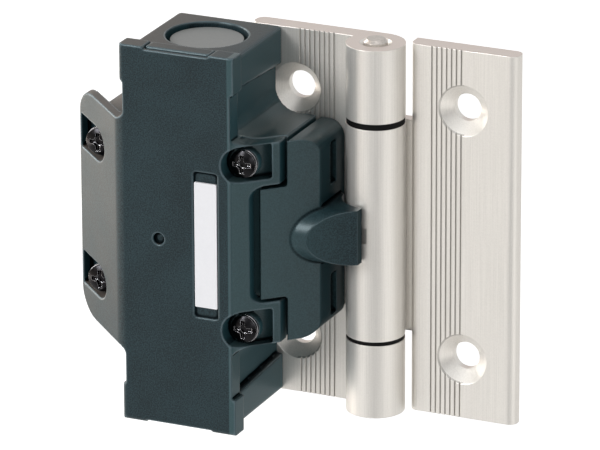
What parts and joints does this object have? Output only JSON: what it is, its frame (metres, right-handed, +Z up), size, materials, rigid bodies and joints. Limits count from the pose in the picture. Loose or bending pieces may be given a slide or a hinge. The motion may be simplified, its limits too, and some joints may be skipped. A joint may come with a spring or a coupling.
{
  "type": "safety hinge switch",
  "caption": "Butt hinge for a guard door with a moulded safety switch on the fixed leaf, worked by a cam in the hinge knuckle.",
  "frame": {"origin": "centre of the fixed leaf's two screw holes, on the leaf's back face", "axes": "+X along the leaves towards the door leaf, +Y into the frame that the leaf is screwed to, +Z up along the hinge pin"},
  "size_m": [0.1128, 0.0368, 0.0984],
  "materials": {
    "leaf_aluminium": "satin anodised",
    "pin_steel": "ground",
    "bush_polymer": "moulded",
    "housing_plastic": "fine grained",
    "seal_rubber": "moulded",
    "label_white": "smooth",
    "screw_dark": "black oxide",
    "plug_plastic": "fine grained",
    "screw_steel": "zinc plated",
    "contact_brass": "bright",
    "spring_steel": "drawn wire",
    "block_plastic": "moulded",
    "tappet_plastic": "moulded"
  },
  "bodies": {
    "fixed_side": {"fixed_leaf": "leaf_aluminium", "hinge_pin": "pin_steel", "housing_base": "housing_plastic", "front_cover": "housing_plastic", "cover_gasket": "seal_rubber", "label_plate": "label_white", "cover_screws": "screw_dark", "top_entry_plug": "plug_plastic", "bottom_entry_plug": "plug_plastic", "actuator_head": "housing_plastic", "head_screws": "screw_steel", "leaf_screws": "screw_steel", "plunger_guide": "contact_brass", "plunger_seal": "seal_rubber", "return_spring": "spring_steel", "contact_block": "block_plastic", "block_screws": "screw_steel", "fixed_contacts": "contact_brass", "terminal_clamps": "screw_steel", "terminal_screws": "screw_steel"},
    "door_side": {"door_leaf": "leaf_aluminium", "upper_bush": "bush_polymer", "lower_bush": "bush_polymer"},
    "plunger_side": {"plunger": "pin_steel", "switch_tappet": "tappet_plastic", "contact_bridges": "contact_brass"}
  },
  "joints": [
    {"name": "door_hinge", "type": "hinge", "parent": "fixed_side", "child": "door_side", "pos_m": [0.0222, -0.0074, 0], "axis": [0, 0, -1], "range_deg": [0, 92]},
    {"name": "plunger_slide", "type": "slide", "parent": "fixed_side", "child": "plunger_side", "axis": [-1, 0, 0], "range_m": [0, 0.0029], "deforming": ["return_spring"]}
  ],
  "couplings": [
    {"joint": "plunger_slide", "follows": "door_hinge", "m_per_rad": 0.001806}
  ]
}
